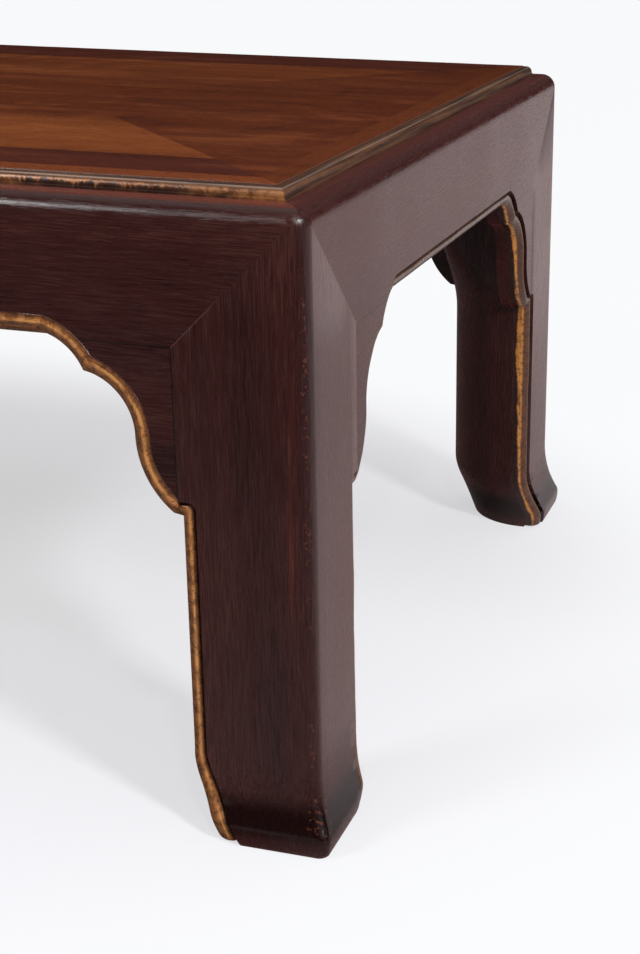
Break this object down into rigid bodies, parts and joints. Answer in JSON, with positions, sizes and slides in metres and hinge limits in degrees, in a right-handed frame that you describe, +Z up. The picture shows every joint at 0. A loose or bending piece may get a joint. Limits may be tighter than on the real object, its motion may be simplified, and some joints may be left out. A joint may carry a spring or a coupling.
{
  "type": "kang table",
  "caption": "Low hardwood kang table with a raised veneered top, scalloped gilt-edged aprons and hoof feet that sweep outwards.",
  "frame": {"origin": "on the floor under the middle of the table", "axes": "+X along the long side, +Y from front to back, +Z up"},
  "size_m": [1.3936, 0.6816, 0.432],
  "materials": {
    "dark_hardwood": "deep red-brown lacquered hardwood, satin to semi-gloss, straight fine grain",
    "field_veneer": "figured dark veneer under polished lacquer, joints on the mitre",
    "crossband_veneer": "dark crossbanding veneer under polished lacquer",
    "lipping_veneer": "narrow orange-brown banding veneer under polished lacquer",
    "gilt_bead": "antiqued gold paint on carved wood, rubbed and mottled",
    "gilt_moulding": "antiqued gold leaf on a wooden moulding, dark in its hollows",
    "carcase_wood": "plain unfinished softwood",
    "screw_steel": "zinc-plated wood screws"
  },
  "bodies": {
    "root": {"apron_back": "dark_hardwood", "apron_bead_back": "gilt_bead", "apron_bead_front": "gilt_bead", "apron_bead_left": "gilt_bead", "apron_bead_right": "gilt_bead", "apron_front": "dark_hardwood", "apron_left": "dark_hardwood", "apron_right": "dark_hardwood", "batten_left": "carcase_wood", "batten_right": "carcase_wood", "cleat_back": "carcase_wood", "cleat_front": "carcase_wood", "cleat_left": "carcase_wood", "cleat_right": "carcase_wood", "crossband_veneer_back": "crossband_veneer", "crossband_veneer_front": "crossband_veneer", "crossband_veneer_left": "crossband_veneer", "crossband_veneer_right": "crossband_veneer", "field_veneer_back": "field_veneer", "field_veneer_front": "field_veneer", "field_veneer_left": "field_veneer", "field_veneer_right": "field_veneer", "leg_back_left": "dark_hardwood", "leg_back_right": "dark_hardwood", "leg_bead_back_left": "gilt_bead", "leg_bead_back_right": "gilt_bead", "leg_bead_front_left": "gilt_bead", "leg_bead_front_right": "gilt_bead", "leg_bead_left_back": "gilt_bead", "leg_bead_left_front": "gilt_bead", "leg_bead_right_back": "gilt_bead", "leg_bead_right_front": "gilt_bead", "leg_front_left": "dark_hardwood", "leg_front_right": "dark_hardwood", "lipping_veneer_back": "lipping_veneer", "lipping_veneer_front": "lipping_veneer", "lipping_veneer_left": "lipping_veneer", "lipping_veneer_right": "lipping_veneer", "spandrel_back_left": "dark_hardwood", "spandrel_back_right": "dark_hardwood", "spandrel_bead_back_left": "gilt_bead", "spandrel_bead_back_right": "gilt_bead", "spandrel_bead_front_left": "gilt_bead", "spandrel_bead_front_right": "gilt_bead", "spandrel_bead_left_back": "gilt_bead", "spandrel_bead_left_front": "gilt_bead", "spandrel_bead_right_back": "gilt_bead", "spandrel_bead_right_front": "gilt_bead", "spandrel_front_left": "dark_hardwood", "spandrel_front_right": "dark_hardwood", "spandrel_left_back": "dark_hardwood", "spandrel_left_front": "dark_hardwood", "spandrel_right_back": "dark_hardwood", "spandrel_right_front": "dark_hardwood", "top_core": "carcase_wood", "top_moulding_back": "gilt_moulding", "top_moulding_front": "gilt_moulding", "top_moulding_left": "gilt_moulding", "top_moulding_right": "gilt_moulding", "top_screws": "screw_steel"}
  },
  "joints": []
}
